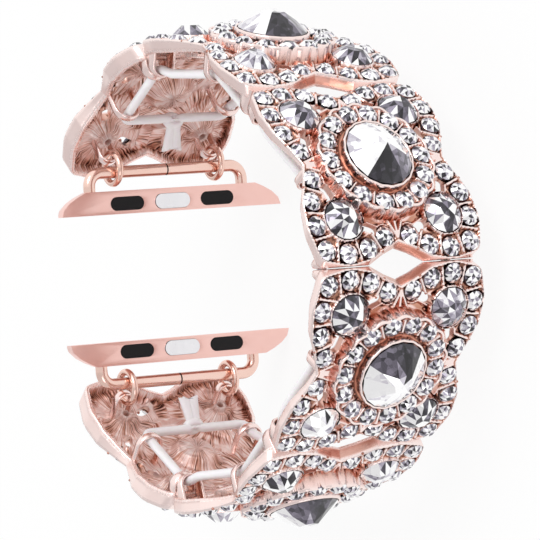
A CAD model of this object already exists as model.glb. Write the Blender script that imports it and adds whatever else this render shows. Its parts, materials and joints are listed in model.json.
import json
import math

import bmesh
import bpy
import numpy as np
from mathutils import Matrix, Vector


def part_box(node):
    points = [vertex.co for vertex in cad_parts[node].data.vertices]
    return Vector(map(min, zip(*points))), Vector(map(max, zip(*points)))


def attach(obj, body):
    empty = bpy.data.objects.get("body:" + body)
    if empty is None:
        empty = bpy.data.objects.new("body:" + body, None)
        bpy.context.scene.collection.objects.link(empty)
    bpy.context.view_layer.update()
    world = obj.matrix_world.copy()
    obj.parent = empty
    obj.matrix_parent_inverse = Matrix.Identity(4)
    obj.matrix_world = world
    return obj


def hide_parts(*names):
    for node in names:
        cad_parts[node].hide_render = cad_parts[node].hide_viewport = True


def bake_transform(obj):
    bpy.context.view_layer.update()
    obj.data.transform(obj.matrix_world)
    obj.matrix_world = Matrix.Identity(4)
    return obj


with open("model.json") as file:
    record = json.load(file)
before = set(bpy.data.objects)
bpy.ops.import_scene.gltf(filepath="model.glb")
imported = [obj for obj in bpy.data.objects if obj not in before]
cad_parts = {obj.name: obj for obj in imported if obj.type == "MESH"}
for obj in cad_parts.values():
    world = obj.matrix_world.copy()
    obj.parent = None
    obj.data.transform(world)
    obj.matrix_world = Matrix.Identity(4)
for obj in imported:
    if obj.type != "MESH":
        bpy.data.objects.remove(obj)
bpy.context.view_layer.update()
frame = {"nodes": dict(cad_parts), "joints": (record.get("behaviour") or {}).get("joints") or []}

# A rhinestone watch band, lying on its side: Z runs across the band, Y is up in the photograph.
# Sizes in the dictionaries are millimetres and degrees; meshes are built in metres.

mm = 0.001
scene = bpy.context.scene
jointAt = {j["name"]: np.array(j["pos_m"]) / mm for j in frame["joints"] if "pos_m" in j}

band = {
    "pitch": 22.4,  # between a link's two hinge lines
    "archRadius": 30.0,
    "tilts": (124.0, 74.0, 32.5, -32.5, -74.0, -124.0),
    "jointGap": 0.12,
    "middleZ": 14.1,
    "cordRadius": 0.5,
}
linkHalf = band["pitch"] / 2
linkEdge = linkHalf - band["jointGap"] / 2


def stepOf(tilt):
    return band["pitch"] * np.array([-math.sin(math.radians(tilt)), math.cos(math.radians(tilt))])


def flipped(p):
    return np.array([p[0], -p[1]])


hinge0 = jointAt["open_middle"][:2]
hinge1 = jointAt["open_upper_inner"][:2]
hinge2 = jointAt["open_upper_outer"][:2]
hinge3 = hinge2 + stepOf(band["tilts"][0])
upperCentres = [(hinge2 + hinge3) / 2, (hinge1 + hinge2) / 2, (hinge0 + hinge1) / 2]
linkCentres = upperCentres + [flipped(p) for p in reversed(upperCentres)]
outerBend = (band["tilts"][0] - band["tilts"][1]) / 2
innerBend = (band["tilts"][1] - band["tilts"][2]) / 2
# half the bend of the joint at each link's two ends, None at a free end
linkEnds = [(None, outerBend), (outerBend, innerBend), (innerBend, band["tilts"][2])]
linkEnds += [(b, a) for a, b in reversed(linkEnds)]


def linkPlace(k):
    x, y = linkCentres[k]
    turn = Matrix.Rotation(math.radians(band["tilts"][k] - 90), 4, "Z")
    return Matrix.Translation((x * mm, y * mm, band["middleZ"] * mm)) @ turn @ Matrix.Scale(mm, 4)


def newObject(name, data):
    made = bpy.data.objects.new(name, data)
    scene.collection.objects.link(made)
    return made


# Camera

camera = {
    "round": 58.0,  # degrees off the ring's axis, towards the middle of the band
    "above": 0.75,
    "roll": 3.82,
    "distance": 450.0,
    "target": (1.914, 0.0, 14.1),
    "pixelsPerMm": 9.43,
    "frame": 540,  # pixels
    "centre": (277.47, 269.13),  # where the target falls in that frame
    "sensor": 36,
    "clip": (0.01, 20),  # metres
}


def makeCamera():
    a, e, roll = (math.radians(camera[n]) for n in ("round", "above", "roll"))
    away = Vector((math.sin(a) * math.cos(e), math.sin(e), math.cos(a) * math.cos(e)))
    right = Vector((math.cos(a), 0, -math.sin(a)))
    up = away.cross(right)
    camRight = right * math.cos(roll) - up * math.sin(roll)
    camUp = right * math.sin(roll) + up * math.cos(roll)
    s, middle = camera["pixelsPerMm"], camera["frame"] / 2
    cx, cy = camera["centre"]
    aim = Vector(camera["target"]) - camRight * (cx - middle) / s - camUp * (middle - cy) / s
    data = bpy.data.cameras.new("photoCamera")
    data.sensor_width = camera["sensor"]
    data.lens = s * camera["distance"] / camera["frame"] * camera["sensor"]
    data.clip_start, data.clip_end = camera["clip"]
    cam = newObject("photoCamera", data)
    turn = Matrix((camRight, camUp, away)).transposed().to_4x4()
    cam.matrix_world = Matrix.Translation((aim + away * camera["distance"]) * mm) @ turn
    scene.camera = cam


makeCamera()
print("camera placed")


# Node helpers

def feed(tree, socket, value):
    if isinstance(value, bpy.types.NodeSocket):
        tree.links.new(value, socket)
    elif socket.type == "RGBA":
        socket.default_value = (*value[:3], 1)
    else:
        socket.default_value = value


def addNode(tree, kind, inputs=None, **settings):
    node = tree.nodes.new(kind)
    for key, value in settings.items():
        setattr(node, key, value)
    for key, value in (inputs or {}).items():
        feed(tree, node.inputs[key], value)
    return node


def newMaterial(name):
    material = bpy.data.materials.new(name)
    material.use_nodes = True
    material.node_tree.nodes.clear()
    return material, material.node_tree


def finishSurface(tree, values):
    shader = addNode(tree, "ShaderNodeBsdfPrincipled", values)
    addNode(tree, "ShaderNodeOutputMaterial", {0: shader.outputs[0]})


def colourRamp(tree, factor, stops):
    node = addNode(tree, "ShaderNodeValToRGB", {0: factor})
    elements = node.color_ramp.elements
    while len(elements) < len(stops):
        elements.new(0.5)
    for element, (place, colour) in zip(elements, stops):
        element.position = place
        element.color = (*colour, 1)
    return node.outputs[0]


def objectSpace(tree):
    return addNode(tree, "ShaderNodeTexCoord").outputs["Object"]


def stored(tree, name, output="Fac"):
    return addNode(tree, "ShaderNodeAttribute", attribute_name=name).outputs[output]


def mapped(tree, place, scale):
    return addNode(tree, "ShaderNodeMapping", {"Vector": place, "Scale": scale}).outputs[0]


def noise(tree, place, scale, detail, roughness=0.5):
    values = {"Vector": place, "Scale": scale, "Detail": detail, "Roughness": roughness}
    return addNode(tree, "ShaderNodeTexNoise", values).outputs["Fac"]


def mathNode(tree, operation, *values):
    return addNode(tree, "ShaderNodeMath", dict(enumerate(values)), operation=operation).outputs[0]


def mixColour(tree, factor, a, b):
    return addNode(tree, "ShaderNodeMix", {0: factor, 6: a, 7: b}, data_type="RGBA").outputs[2]


def bump(tree, height, strength, distance, under=None):
    values = {"Strength": strength, "Distance": distance, "Height": height}
    if under is not None:
        values["Normal"] = under
    return addNode(tree, "ShaderNodeBump", values).outputs[0]


def componentOf(tree, vector, name):
    return addNode(tree, "ShaderNodeSeparateXYZ", {0: vector}).outputs[name]


# Materials: scales are per metre, bump heights are metres

castFinish = {
    "stops": (
        (0.0, (0.98, 0.835, 0.80)),  # tops of the ridges
        (0.22, (0.94, 0.69, 0.64)),  # polished rim and walls
        (0.55, (0.60, 0.295, 0.205)),  # in the recesses
        (0.92, (0.05, 0.016, 0.013)),  # in the deepest gaps
    ),
    "polished": 0.17,  # roughness
    "asCast": 0.36,
    "roughSpread": 0.08,
    "grain": 2600.0,
    "grainBump": 0.00008,
    "grainStrength": (0.55, 0.05),  # more on the rough back, the least
    "blotch": 420.0,
    "blotchTone": (0.4, 0.3),  # more on the rough back, the least
    "strokes": (7.0, 0.3),  # per millimetre, across and along the cast strokes
    "strokeTone": 2.9,
    "strokeBump": 0.00016,
}


def castMaterial():
    material, tree = newMaterial("roseGoldCast")
    place = objectSpace(tree)
    depth, inner = stored(tree, "depth"), stored(tree, "inner")
    blotch = noise(tree, place, castFinish["blotch"], 3.0)
    fine = noise(tree, place, castFinish["grain"], 4.0, 0.6)
    stroke = mapped(tree, stored(tree, "stroke", "Vector"), (*castFinish["strokes"], 1))
    streak = noise(tree, stroke, 1.0, 3.0)
    # blotches grow with the depth of shade, strokes show on the rough back only
    uneven = mathNode(tree, "MULTIPLY", mathNode(tree, "SUBTRACT", blotch, 0.5),
                      mathNode(tree, "ADD", depth, 0.1))
    blotchTone = mathNode(tree, "MULTIPLY_ADD", inner, *castFinish["blotchTone"])
    tone = mathNode(tree, "MULTIPLY_ADD", uneven, blotchTone, depth)
    tone = mathNode(tree, "MULTIPLY_ADD", mathNode(tree, "SUBTRACT", streak, 0.5),
                    mathNode(tree, "MULTIPLY", inner, castFinish["strokeTone"]), tone)
    polished = castFinish["polished"]
    rough = mathNode(tree, "MULTIPLY_ADD", inner, castFinish["asCast"] - polished, polished)
    strength = mathNode(tree, "MULTIPLY_ADD", inner, *castFinish["grainStrength"])
    grain = bump(tree, fine, strength, castFinish["grainBump"])
    finishSurface(tree, {"Base Color": colourRamp(tree, tone, castFinish["stops"]), "Metallic": 1.0,
                         "Roughness": mathNode(tree, "MULTIPLY_ADD", fine, castFinish["roughSpread"], rough),
                         "Normal": bump(tree, streak, inner, castFinish["strokeBump"], grain)})
    return material


stoneFinish = {
    "stops": (
        (0.0, (0.006, 0.005, 0.008)),
        (0.17, (0.045, 0.04, 0.055)),
        (0.36, (0.30, 0.27, 0.345)),
        (0.52, (0.70, 0.67, 0.74)),
        (0.64, (1.0, 1.0, 1.0)),
    ),
    "shard": 1500.0,  # the small inner reflections
    "shardShare": {"clearStone": 0.35, "bigStone": 0.22},
    "shadeShift": 7.31,  # spreads a stone's own shade over all tones
    "shine": {"Metallic": 0.8, "Roughness": 0.07, "Coat Weight": 1.0, "Coat Roughness": 0.02},
}


def stoneMaterial(name):
    material, tree = newMaterial(name)
    mixed = mathNode(tree, "MULTIPLY_ADD", stored(tree, "stoneShade"), stoneFinish["shadeShift"],
                     stored(tree, "facetShade"))
    place = objectSpace(tree)
    shard = addNode(tree, "ShaderNodeTexVoronoi", {"Vector": place, "Scale": stoneFinish["shard"]})
    shardTone = addNode(tree, "ShaderNodeSeparateColor", {0: shard.outputs["Color"]}).outputs[0]
    tone = mathNode(tree, "MULTIPLY_ADD", mathNode(tree, "SUBTRACT", shardTone, 0.5),
                    stoneFinish["shardShare"][name], mathNode(tree, "FRACT", mixed))
    finishSurface(tree, {"Base Color": colourRamp(tree, tone, stoneFinish["stops"]), **stoneFinish["shine"]})
    return material


metals = {
    "bead": {"name": "castBead", "colour": (0.72, 0.40, 0.32), "deep": (0.34, 0.12, 0.08),
             "roughness": 0.22, "grain": 3000.0},
    "ring": {"name": "roseGoldRing", "colour": (0.97, 0.73, 0.65), "deep": (0.90, 0.60, 0.50),
             "roughness": 0.17, "grain": 2400.0},
    "lug": {"name": "satinRoseGold", "colour": (0.97, 0.655, 0.60), "deep": (0.92, 0.575, 0.51),
            "roughness": 0.34, "grain": 5200.0, "strength": 0.25},
    "button": {"name": "brightMetal", "colour": (0.93, 0.93, 0.95), "deep": (0.84, 0.84, 0.87),
               "roughness": 0.3, "grain": 3000.0, "stretch": (1, 1, 6), "strength": 0.15},
    "spring": {"name": "springSteel", "colour": (0.66, 0.67, 0.70), "deep": (0.55, 0.56, 0.59),
               "roughness": 0.3, "grain": 2400.0},
}
metals["wire"] = {**metals["ring"], "name": "roseGoldWire", "seamAt": band["middleZ"],
                  "edge": (0.36, 0.12, 0.07)}
metalDetail = {
    "broad": 12,  # the colour's patches are this much larger than the grain
    "roughSpread": 0.14,
    "bump": 0.00004,
    "edgePower": 7.0,
    "seamHalf": 0.085,  # where two wires meet
    "seamColour": (0.012, 0.008, 0.008),
}


def metalMaterial(name, colour, deep, roughness, grain, stretch=(1, 1, 1), strength=0.08,
                  seamAt=None, edge=None):
    material, tree = newMaterial(name)
    place = mapped(tree, objectSpace(tree), stretch)
    fine = noise(tree, place, grain, 5.0)
    tint = mixColour(tree, noise(tree, place, grain / metalDetail["broad"], 2.0), deep, colour)
    if edge is not None:  # the sides that face along the gap are darker
        facing = addNode(tree, "ShaderNodeTexCoord").outputs["Normal"]
        up = mathNode(tree, "ABSOLUTE", componentOf(tree, facing, "Y"))
        tint = mixColour(tree, mathNode(tree, "POWER", up, metalDetail["edgePower"]), tint, edge)
    if seamAt is not None:
        height = componentOf(tree, objectSpace(tree), "Z")
        far = mathNode(tree, "ABSOLUTE", mathNode(tree, "SUBTRACT", height, seamAt * mm))
        near = mathNode(tree, "LESS_THAN", far, metalDetail["seamHalf"] * mm)
        tint = mixColour(tree, near, tint, metalDetail["seamColour"])
    more = metalDetail["roughSpread"]
    finishSurface(tree, {"Base Color": tint, "Metallic": 1.0,
                         "Roughness": mathNode(tree, "MULTIPLY_ADD", fine, more, roughness - more / 2),
                         "Normal": bump(tree, fine, strength, metalDetail["bump"])})
    return material


rubberFinish = {"colours": ((0.004, 0.004, 0.005), (0.012, 0.011, 0.012)), "grain": 6000.0,
                "bump": (0.1, 0.00003), "roughness": (0.2, 0.38), "gloss": 0.22}
cordFinish = {"colours": ((0.93, 0.905, 0.955), (0.99, 0.98, 1.0)), "grain": 1500.0, "bump": (0.15, 0.00004),
              "glow": {"Roughness": 0.32, "Coat Weight": 0.3, "Subsurface Weight": 0.35,
                       "Subsurface Radius": (0.0006, 0.0005, 0.0006)}}


def rubberMaterial():
    material, tree = newMaterial("blackRubber")
    fine = noise(tree, objectSpace(tree), rubberFinish["grain"], 3.0)
    finishSurface(tree, {"Base Color": mixColour(tree, fine, *rubberFinish["colours"]),
                         "Specular IOR Level": rubberFinish["gloss"],
                         "Roughness": mathNode(tree, "MULTIPLY_ADD", fine, *rubberFinish["roughness"]),
                         "Normal": bump(tree, fine, *rubberFinish["bump"])})
    return material


def cordMaterial():
    material, tree = newMaterial("elasticCord")
    fine = noise(tree, objectSpace(tree), cordFinish["grain"], 3.0)
    finishSurface(tree, {"Base Color": mixColour(tree, fine, *cordFinish["colours"]), **cordFinish["glow"],
                         "Normal": bump(tree, fine, *cordFinish["bump"])})
    return material


materials = {key: metalMaterial(**metal) for key, metal in metals.items()}
materials["cast"] = castMaterial()
materials["stone"] = stoneMaterial("clearStone")
materials["bigStone"] = stoneMaterial("bigStone")
materials["rubber"] = rubberMaterial()
materials["cord"] = cordMaterial()
print("materials made")


# Mesh helpers

def meshPiece(name, verts, faces, material, smooth=True):
    mesh = bpy.data.meshes.new(name)
    mesh.from_pydata([tuple(v) for v in verts], [], [tuple(f) for f in faces])
    mesh.polygons.foreach_set("use_smooth", [smooth] * len(mesh.polygons))
    mesh.materials.append(material)
    mesh.update()
    return newObject(name, mesh)


def bakedPiece(source, name):
    graph = bpy.context.evaluated_depsgraph_get()
    mesh = bpy.data.meshes.new_from_object(source.evaluated_get(graph))
    mesh.name = name
    bpy.data.objects.remove(source)
    return newObject(name, mesh)


def storeValues(mesh, name, values, domain="POINT"):
    values = np.asarray(values, np.float32)
    single = values.ndim == 1
    attribute = mesh.attributes.new(name, "FLOAT" if single else "FLOAT_VECTOR", domain)
    attribute.data.foreach_set("value" if single else "vector", values.ravel())


def tubeFaces(rows, columns, closed=False):
    # quads between rows of points, and from the last row back to the first where the tube is closed
    faces = []
    for i in range(rows if closed else rows - 1):
        here, there = i * columns, (i + 1) % rows * columns
        for j in range(columns):
            n = (j + 1) % columns
            faces.append((here + j, here + n, there + n, there + j))
    return faces


def ramp(v, a, b):
    t = np.clip((v - a) / (b - a), 0, 1)
    return t * t * (3 - 2 * t)


def fall(v, a, b):
    return 1 - ramp(v, a, b)


def mix(a, b, w):
    return a + (b - a) * w


def spread(count, start=0.0):
    # angles round a full turn
    return [2 * math.pi * (k + start) / count for k in range(count)]


# The six cast links: one height field for the front and one for the back, cut at the joints

castLink = {
    "gridStep": 0.1,
    "leastShare": 0.03,  # of a grid step, so that no face is a sliver
    "lobe": (6.85, 6.25),  # centre of a lobe's round corner
    "lobeRadius": 4.25,
    "lobeArc": (93, -11),  # degrees, from the waist's side to the notch's
    "row": ((8.42, 1.5), (9.49, 3.72), (9.88, 6.25), (9.42, 8.76), (6.86, 9.25), (4.2, 9.02), (1.75, 8.06)),
    "margin": 1.21,  # metal outside the centres of the row
    "cellHalf": 1.28,
    "waist": 8.6,
    "notch": 9.0,
    "holes": (((2.85, 7.0), (3.75, 6.75), 0.52), ((7.3, 3.55), (7.75, 2.6), 0.48)),
    "edgeRound": 0.26,
    "cellFloor": -0.2,
    "recessFloor": -0.45,
    "ridge": 0.1,
    "mediumAt": (6.45, 6.06),
    "mediumRadius": 2.15,
    "largeRadius": 3.85,
    "largeOval": 0.945,
    "medallionRadius": 6.75,
    "medallionRise": 0.72,
    "haloRadius": 5.5,
    "haloCount": 14,
    "plate": 0.9,
    "rimWall": 0.5,
    "rimHeight": (0.95, 1.55),  # at the waist, round the lobes
    "notchRim": 1.55,
    "endRim": 1.95,  # round the lobes of the two end links
    "draft": 0.035,  # how much the sides lean in towards the back
    "wedge": (0.4, 0.04),  # gap at the front of the end links' joints, of the others
    "wallLevels": 5,
    "sharpAngle": 60,
}
archR = band["archRadius"]
lobeX, lobeZ = castLink["lobe"]
lobeR = castLink["lobeRadius"]
archY = -math.sqrt(archR ** 2 - min(lobeX + lobeR, linkEdge) ** 2)
medallionTop = archY + archR + castLink["medallionRise"]
rowStones = [np.array(p) for p in castLink["row"]]  # one lobe's seven small stones
haloPitch = 2 * math.pi / castLink["haloCount"]
haloStones = [castLink["haloRadius"] * np.array([math.cos(a), math.sin(a)])
              for a in spread(castLink["haloCount"], 0.5)]


def surfaceY(x):
    return archY + np.sqrt(archR ** 2 - np.minimum(np.abs(x), archR - 1) ** 2)


def arcPoints(centre, radius, start, end, count):
    return [(centre[0] + radius * math.cos(a), centre[1] + radius * math.sin(a))
            for a in np.radians(np.linspace(start, end, count))]


def outlinePath():
    # a quarter of the outline: waist, the row's top, the lobe with its corner, the row's side, notch
    m, s = castLink["margin"], rowStones
    corner = s[3]
    dx, dz = corner - np.array([lobeX, lobeZ])
    way = math.degrees(math.atan2(dz, dx))
    # the corner's arc meets the lobe's this far to either side
    wide = math.degrees(math.acos((lobeR - m) / math.hypot(dx, dz)))
    start, end = castLink["lobeArc"]
    arc = arcPoints((lobeX, lobeZ), lobeR, start, way + wide, 8)
    arc += arcPoints(corner, m, way + wide, way - wide, 16)
    arc += arcPoints((lobeX, lobeZ), lobeR, way - wide, end, 10)
    return np.array([(0, castLink["waist"]), (s[6][0], s[6][1] + 0.95 * m), (s[5][0], s[5][1] + m), *arc,
                     (s[1][0] + m, s[1][1]), (s[0][0] + 0.95 * m, s[0][1]), (castLink["notch"], 0)])


outline = outlinePath()


def pathDistance(px, pz, path):
    best = np.full(px.shape, 1e9)
    for (ax, az), (bx, bz) in zip(path[:-1], path[1:]):
        dx, dz = bx - ax, bz - az
        t = np.clip(((px - ax) * dx + (pz - az) * dz) / (dx * dx + dz * dz), 0, 1)
        best = np.minimum(best, np.hypot(px - ax - t * dx, pz - az - t * dz))
    return best


def insidePath(px, pz, path):
    inside = np.zeros(px.shape, bool)
    closed = np.vstack([[(-1, path[0][1])], path, [(path[-1][0], -1)], [(-1, -1)], [(-1, path[0][1])]])
    for (ax, az), (bx, bz) in zip(closed[:-1], closed[1:]):
        if az != bz:
            inside ^= ((az > pz) != (bz > pz)) & (px < (bx - ax) * (pz - az) / (bz - az) + ax)
    return inside


def outlineInset(x, z):
    px, pz = np.abs(x), np.abs(z)
    d = pathDistance(px, pz, outline)
    return np.where(insidePath(px, pz, outline), d, -d)


def holeDistance(x, z):
    px, pz = np.abs(x), np.abs(z)
    return np.min([pathDistance(px, pz, (a, b)) - r for a, b, r in castLink["holes"]], 0)


def fromSeat(px, pz, seat):
    # distance from a stone's axis, and rise above its seat
    turn = math.asin(seat[0] / archR)
    dy = surfaceY(px) - surfaceY(seat[0])
    along = (px - seat[0]) * math.cos(turn) - dy * math.sin(turn)
    rise = (px - seat[0]) * math.sin(turn) + dy * math.cos(turn)
    return np.hypot(along, pz - seat[1]), rise


def dividers():
    # middle and direction of each ridge across the row: between the stones, then beyond the row's two ends
    out = [((a + b) / 2, (b - a) / np.linalg.norm(b - a)) for a, b in zip(rowStones[:-1], rowStones[1:])]
    for last, before in ((rowStones[0], rowStones[1]), (rowStones[-1], rowStones[-2])):
        t = (last - before) / np.linalg.norm(last - before)
        out.append((last + t * castLink["cellHalf"], t))
    return out


def nearest(x, z, places):
    return np.min([np.hypot(x - p[0], z - p[1]) for p in places], 0)


def edgeDrop(inset):
    # the outer edge is rounded
    e = castLink["edgeRound"]
    k = np.clip(1 - inset / e, 0, 1)
    return e * (1 - np.sqrt(np.clip(1 - k * k, 0, 1)))


def laid(layer, height, shade, share):
    return mix(layer[0], height, share), mix(layer[1], shade, share)


def medallionLift(x):
    return castLink["medallionRise"] - (surfaceY(x) - surfaceY(0))


# shade runs from 0 on polished ridges to 1 in the deepest gaps
frontShade = {"ridge": 0.0, "bridge": 0.05, "holeRim": 0.08, "ground": 0.2, "largeSeat": 0.5, "recess": 0.55,
              "cell": 0.7, "foot": 0.85, "wall": 0.9, "dividerFoot": 0.95, "seat": 1.0}
# each form of the front sets in between two distances from its own line or centre
front = {
    "ground": -0.04,
    "recess": (1.34, 1.46),
    "recessWall": ((1.3, 1.4), (1.5, 1.75)),
    "mediumWall": (2.6, 3.0),
    "cell": (1.08, 1.18),
    "seat": (1.1, 1.2),
    "seatSink": 0.12,
    "divider": ((0.1, 0.19), (1.22, 1.34)),
    "dividerFoot": ((0.2, 0.3), (1.05, 1.15)),
    "notchBridge": ((0.12, 0.24), (6.7, 6.9), 0.06),  # across, from here outwards, height
    "waistBridge": ((0.3, 0.5), (6.8, 7.0), 0.04),
    "rim": (0.17, 0.27),
    "rimRise": 0.02,
    "rimFoot": (0.3, 0.4),
    "rimClear": 1.16,  # from the small stones
    "holeRim": (0.12, 0.26),
    "holeClear": (1.15, 2.6),  # from the row, from the medium stone
    "collar": ((0.02, 0.08), (0.2, 0.3)),  # from the medium stone's edge
    "collarRise": 0.28,
    "collarGap": (0.03, 0.05),
    "scallop": (6.5, 1.22),  # the medallion's edge: from its middle, round each halo stone
    "spoke": ((0.09, 0.17), (4.55, 4.65)),
    "scallopRidge": (0.18, 0.28),
    "largeFloor": ((4.4, 4.5), -0.36),
    "largeSeat": (0.3, 0.5),
    "medallion": (0.02, 0.2),
    "medallionWall": (-0.4, 0.02),
    "wallShade": (0.2, 0.34),  # at its top, and how much more at its foot
    "wallReach": (0.2, 0.4),
}


def rowLayer(px, pz, toRow, toStone, rMedium):
    # the recess behind the row of small stones, their cells, and a ridge with a dark foot between neighbours
    floor, shade = castLink["cellFloor"], frontShade
    layer = np.full(px.shape, front["ground"]), np.full(px.shape, shade["ground"])
    h, depth = laid(layer, castLink["recessFloor"], shade["recess"], ramp(toRow, *front["recess"]))
    rise, end = front["recessWall"]
    dark = ramp(toRow, *rise) * fall(toRow, *end) + fall(rMedium, *front["mediumWall"])
    layer = h, mix(depth, shade["wall"], np.clip(dark, 0, 1))
    layer = laid(layer, floor, shade["cell"], fall(toRow, *front["cell"]))
    h, depth = laid(layer, floor - front["seatSink"], shade["seat"], fall(toStone, *front["seat"]))
    for middle, t in dividers():
        off = np.abs((px - middle[0]) * t[0] + (pz - middle[1]) * t[1])
        along = np.abs((px - middle[0]) * -t[1] + (pz - middle[1]) * t[0])
        footOff, footAlong = front["dividerFoot"]
        depth = mix(depth, shade["dividerFoot"], fall(off, *footOff) * fall(along, *footAlong))
        ridgeOff, ridgeAlong = front["divider"]
        w = fall(off, *ridgeOff) * fall(along, *ridgeAlong)
        h, depth = laid((h, depth), castLink["ridge"], shade["ridge"], w)
    return h, depth


def medallionLayer(x, z, r, edge, toHalo):
    # cells of the halo stones, spokes between them, the scalloped ridge and the large stone's floor
    floor, ridge, shade = castLink["cellFloor"], castLink["ridge"], frontShade
    layer = np.full(x.shape, floor), np.full(x.shape, shade["cell"])
    layer = laid(layer, floor - front["seatSink"], shade["seat"], fall(toHalo, *front["seat"]))
    turns = np.arctan2(z, x) / haloPitch
    off, reach = np.abs(turns - np.round(turns)) * haloPitch * r, front["spoke"]
    layer = laid(layer, ridge, shade["ridge"], fall(off, *reach[0]) * ramp(r, *reach[1]))
    layer = laid(layer, ridge, shade["ridge"], fall(edge, *front["scallopRidge"]))
    reach, height = front["largeFloor"]
    h, depth = laid(layer, height, shade["foot"], fall(r, *reach))
    oval = np.hypot(x, z / castLink["largeOval"])
    start, end = (castLink["largeRadius"] + out for out in front["largeSeat"])
    return h, mix(depth, shade["largeSeat"], fall(oval, start, end))


def frontHeights(x, z):
    # heights above the arched surface, shades, and the share that belongs to the medallion
    px, pz, shade = np.abs(x), np.abs(z), frontShade
    inset = outlineInset(x, z)
    toRow, toStone = pathDistance(px, pz, rowStones), nearest(px, pz, rowStones)
    rMedium, riseMedium = fromSeat(px, pz, castLink["mediumAt"])
    layer = rowLayer(px, pz, toRow, toStone, rMedium)
    for name, across, outwards in (("notchBridge", pz, px), ("waistBridge", px, pz)):
        narrow, start, height = front[name]
        layer = laid(layer, height, shade["bridge"], fall(across, *narrow) * ramp(outwards, *start))
    h, depth = layer
    depth = mix(depth, shade["foot"], fall(inset, *front["rimFoot"]) * (toStone > front["rimClear"]))
    layer = laid((h, depth), castLink["ridge"] + front["rimRise"], shade["ridge"], fall(inset, *front["rim"]))
    rowClear, mediumClear = front["holeClear"]
    w = fall(holeDistance(x, z), *front["holeRim"]) * (toRow > rowClear) * (rMedium > mediumClear)
    h, depth = laid(layer, 0.0, shade["holeRim"], w)
    # collar of the medium stone, and the dark gap inside it
    r0 = castLink["mediumRadius"]
    (inStart, inEnd), (outStart, outEnd) = front["collar"]
    gap, gapShade = front["collarGap"]
    h = np.where(rMedium < r0 + gap, -front["seatSink"] - riseMedium, h)
    depth = np.where(rMedium < r0 + gapShade, shade["seat"], depth)
    w = ramp(rMedium, r0 + inStart, r0 + inEnd) * fall(rMedium, r0 + outStart, r0 + outEnd)
    h, depth = laid((h, depth), front["collarRise"] - riseMedium, shade["ridge"], w)
    h = h - edgeDrop(inset)
    # the raised medallion; its edge distance is positive inside the scallops
    r, toHalo = np.hypot(x, z), nearest(x, z, haloStones)
    straight, scallop = front["scallop"]
    edge = np.maximum(straight - r, scallop - toHalo)
    top, topShade = medallionLayer(x, z, r, edge, toHalo)
    on = ramp(edge, *front["medallion"])
    h, depth = laid((h, depth), medallionLift(x) + top, topShade, on)
    low, high = front["medallionWall"]
    least, more = front["wallShade"]
    depth = np.where((edge > low) & (edge < high), least + more * ramp(-edge, *front["wallReach"]), depth)
    return h, depth, on


back = {
    "medallion": (5.7, 6.1),
    "medallionPlate": 1.35,
    "boss": ((2.0, 3.0), -1.75, 0.3, 2.6),  # reach, height, how much it falls away, at this radius
    # reach, height, the middle's pit and its reach
    "cone": ((1.2, 2.1), -1.6, 0.45, (0.5, 0.85)),
    "knob": ((0.5, 0.85), -1.2, 0.25, (0.2, 0.42)),
    "knobClear": 0.9,
    "tube": 0.72,
    "tubeEnds": (-2.05, -1.6),  # the rim's height, the bore's
    "tubeWall": ((-0.1, 0.12), (-0.5, -0.3)),  # outside and inside, from the tube's radius
    "panel": ((7.2, 1.0, 1.5), (3.0, 1.1, 1.5)),  # smooth patch by the notch: middle, and its fading edge
    "rough": (0.16, 0.12, 0.04),  # unevenness of the boss, the cones, the rest
    "roughWaves": (3.1, 1.7, 2.3, 2.7, 1.3, 2.9),
    "lump": 0.11,
    "lumpWaves": (1.9, 1.3, 1.1, 1.6, 1.7, 0.9),
    "shadeWaves": (0.28, 1.3, 2.0, 0.8, 1.2, 0.7),
    "strokeRadius": (3.4, 2.6),  # turns an angle into a length, in the lobes and on the boss
    "bossStrokes": 3.2,
    "notchRamp": (6.0, 8.0),
    "rimRamps": ((0.2, 6.2), (0.1, 5.8)),
    "rimSoft": 0.18,
    "jointWall": (0.6, 0.2),
    "upright": (0.9, 1.4),  # how far in from the outline the rim stands along Y
    "draftRamp": (4, 9),
    "asCast": (0.3, 1.0),  # share of the rough finish: on the rims, in the hollow
    "foot": ((0.5, 0.7), (0.9, 1.5)),
}
backShade = {"tube": 0.02, "rim": 0.05, "panel": 0.08, "middle": 0.25, "bore": 0.45, "foot": 0.66,
             "most": 0.95}


def waves(x, z, a, b, c, d, e, f):
    # crossed sines that bend each other, uneven as castings are
    return np.sin(a * x + b * np.sin(c * z)) * np.sin(d * z + e * np.sin(f * x))


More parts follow.
